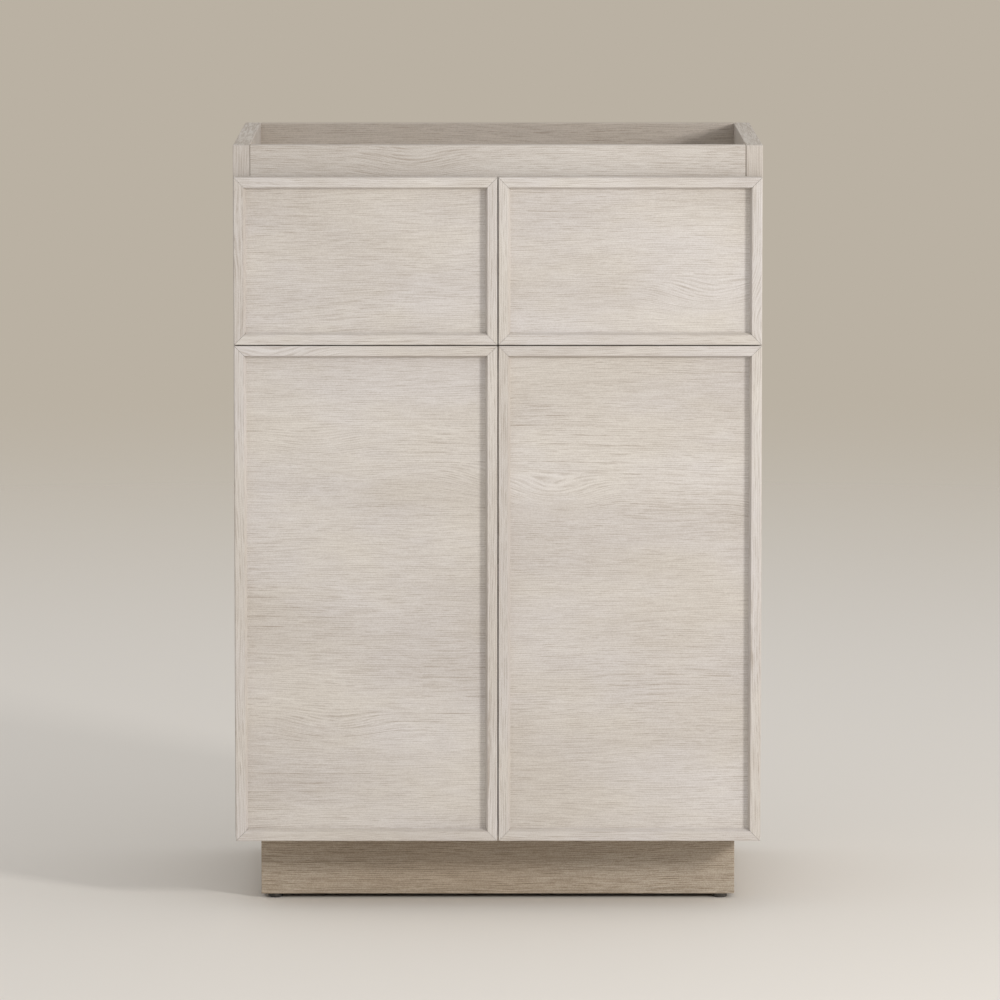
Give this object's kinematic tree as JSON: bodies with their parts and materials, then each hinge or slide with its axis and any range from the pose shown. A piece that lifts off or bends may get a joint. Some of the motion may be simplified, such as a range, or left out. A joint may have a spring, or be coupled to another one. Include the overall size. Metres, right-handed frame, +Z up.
{
  "type": "vanity unit",
  "caption": "Free-standing bathroom vanity base with an open top for a basin, framed push-to-open drawers above framed doors, a recessed plinth and floor glides.",
  "frame": {"origin": "on the floor, under the middle of the unit", "axes": "+X to the right, +Y to the wall behind, +Z up; the fronts face -Y"},
  "size_m": [0.6, 0.46, 0.87],
  "materials": {
    "carcass_wood": "satin whitewashed laminate",
    "front_wood": "satin whitewashed laminate",
    "plinth_wood": "satin whitewashed laminate",
    "block_wood": "bare softwood",
    "box_wood": "clear-lacquered plywood",
    "hinge_steel": "nickel-plated",
    "slide_steel": "zinc-plated",
    "screw_steel": "zinc-plated",
    "pin_steel": "nickel-plated",
    "cam_zinc": "die-cast zinc",
    "latch_plastic": "moulded",
    "plunger_plastic": "moulded",
    "glide_plastic": "moulded",
    "bumper_rubber": "soft clear pad"
  },
  "bodies": {
    "carcass": {"side_panel_left": "carcass_wood", "side_panel_right": "carcass_wood", "bottom_panel": "carcass_wood", "front_apron": "carcass_wood", "middle_rail": "carcass_wood", "drawer_cross_rail": "carcass_wood", "centre_partition": "carcass_wood", "back_top_panel": "carcass_wood", "back_bottom_panel": "carcass_wood", "plinth_front": "plinth_wood", "plinth_back": "plinth_wood", "plinth_sides": "plinth_wood", "plinth_glue_blocks": "block_wood", "floor_glides": "glide_plastic", "corner_braces": "block_wood", "shelf": "carcass_wood", "shelf_pins": "pin_steel", "cam_nuts": "cam_zinc", "hinge_arms": "hinge_steel", "hinge_plates": "hinge_steel", "hinge_plate_screws": "screw_steel", "latch_housings": "latch_plastic", "latch_screws": "screw_steel", "bumpers": "bumper_rubber", "slide_cabinet_members": "slide_steel"},
    "left_door": {"left_door_panel": "front_wood", "left_door_stiles": "front_wood", "left_door_rails": "front_wood", "left_door_hinge_cups": "hinge_steel", "left_door_cup_screws": "screw_steel", "left_door_strike": "screw_steel"},
    "left_drawer": {"left_drawer_panel": "front_wood", "left_drawer_stiles": "front_wood", "left_drawer_rails": "front_wood", "left_drawer_box_sides": "box_wood", "left_drawer_box_ends": "box_wood", "left_drawer_box_bottom": "box_wood", "left_drawer_front_screws": "screw_steel", "left_slide_drawer_members": "slide_steel"},
    "left_slide_middle": {"left_slide_middle_members": "slide_steel"},
    "left_plunger": {"left_latch_plunger": "plunger_plastic"},
    "right_door": {"right_door_panel": "front_wood", "right_door_stiles": "front_wood", "right_door_rails": "front_wood", "right_door_hinge_cups": "hinge_steel", "right_door_cup_screws": "screw_steel", "right_door_strike": "screw_steel"},
    "right_drawer": {"right_drawer_panel": "front_wood", "right_drawer_stiles": "front_wood", "right_drawer_rails": "front_wood", "right_drawer_box_sides": "box_wood", "right_drawer_box_ends": "box_wood", "right_drawer_box_bottom": "box_wood", "right_drawer_front_screws": "screw_steel", "right_slide_drawer_members": "slide_steel"},
    "right_slide_middle": {"right_slide_middle_members": "slide_steel"},
    "right_plunger": {"right_latch_plunger": "plunger_plastic"}
  },
  "joints": [
    {"name": "left_door_hinge", "type": "hinge", "parent": "carcass", "child": "left_door", "pos_m": [-0.2915, -0.216, 0.36], "axis": [0, 0, -1], "range_deg": [0, 95]},
    {"name": "left_drawer_slide", "type": "slide", "parent": "carcass", "child": "left_drawer", "axis": [0, -1, 0], "range_m": [0, 0.195]},
    {"name": "left_slide_middle_slide", "type": "slide", "parent": "carcass", "child": "left_slide_middle", "axis": [0, -1, 0], "range_m": [0, 0.0975]},
    {"name": "left_plunger_slide", "type": "slide", "parent": "carcass", "child": "left_plunger", "axis": [0, -1, 0], "range_m": [0, 0.01]},
    {"name": "right_door_hinge", "type": "hinge", "parent": "carcass", "child": "right_door", "pos_m": [0.2915, -0.216, 0.36], "axis": [0, 0, 1], "range_deg": [0, 95]},
    {"name": "right_drawer_slide", "type": "slide", "parent": "carcass", "child": "right_drawer", "axis": [0, -1, 0], "range_m": [0, 0.195]},
    {"name": "right_slide_middle_slide", "type": "slide", "parent": "carcass", "child": "right_slide_middle", "axis": [0, -1, 0], "range_m": [0, 0.0975]},
    {"name": "right_plunger_slide", "type": "slide", "parent": "carcass", "child": "right_plunger", "axis": [0, -1, 0], "range_m": [0, 0.01]}
  ],
  "couplings": [
    {"joint": "left_slide_middle_slide", "follows": "left_drawer_slide", "ratio": 0.5},
    {"joint": "left_plunger_slide", "follows": "left_door_hinge", "m_per_rad": 0.006},
    {"joint": "right_slide_middle_slide", "follows": "right_drawer_slide", "ratio": 0.5},
    {"joint": "right_plunger_slide", "follows": "right_door_hinge", "m_per_rad": 0.006}
  ]
}
